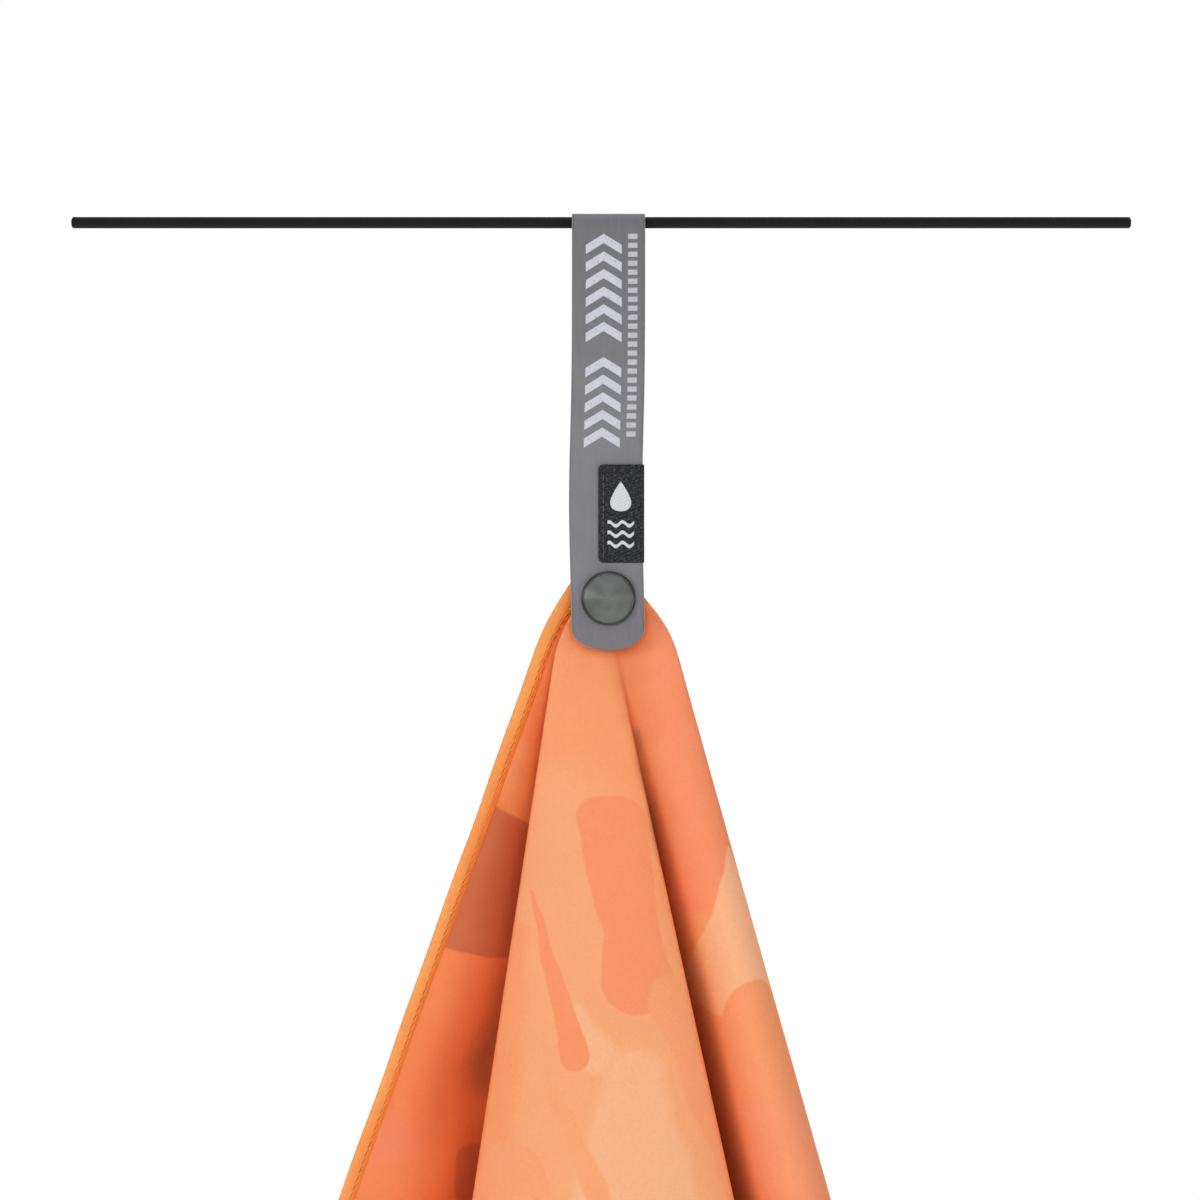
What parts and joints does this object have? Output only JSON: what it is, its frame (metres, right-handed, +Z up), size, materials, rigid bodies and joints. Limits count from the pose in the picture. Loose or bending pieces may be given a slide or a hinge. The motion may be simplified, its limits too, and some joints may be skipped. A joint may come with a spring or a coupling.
{
  "type": "quick dry towel",
  "caption": "Microfibre travel towel hung by one corner in soft pleats from a folded tape loop that closes with a press stud.",
  "frame": {"origin": "inside top of the hang loop, where a line or rail bears, midway across the tape", "axes": "+Z up, -Y the towel's front (the side with the press stud's cap), +X along the line that it hangs on, to the right seen from the front"},
  "size_m": [0.2249, 0.1525, 0.9817],
  "materials": {
    "cloth": "printed microfibre, matt with a soft nap",
    "hem": "folded microfibre edge",
    "hem_thread": "polyester thread",
    "tape": "woven polyester tape, matt",
    "tape_thread": "polyester thread",
    "label": "woven damask label",
    "cap": "satin gunmetal lacquer",
    "steel": "nickel-plated"
  },
  "bodies": {
    "towel": {"towel_cloth": "cloth", "hem_long": "hem", "hem_short": "hem", "hem_lower": "hem", "hem_far": "hem", "hem_thread_long": "hem_thread", "hem_thread_short": "hem_thread", "hem_thread_lower": "hem_thread", "hem_thread_far": "hem_thread", "strap_bend": "tape", "strap_back_leg": "tape", "strap_bar_tack": "tape_thread", "snap_stud": "steel", "snap_post": "steel"},
    "flap": {"strap_front_leg": "tape", "snap_cap": "cap", "snap_socket": "steel", "snap_spring": "steel", "woven_label": "label", "label_stitch": "tape_thread"}
  },
  "joints": [
    {"name": "flap_swing", "type": "hinge", "parent": "towel", "child": "flap", "pos_m": [0, 0, 0.00257], "axis": [-1, 0, 0], "range_deg": [0, 150]}
  ]
}
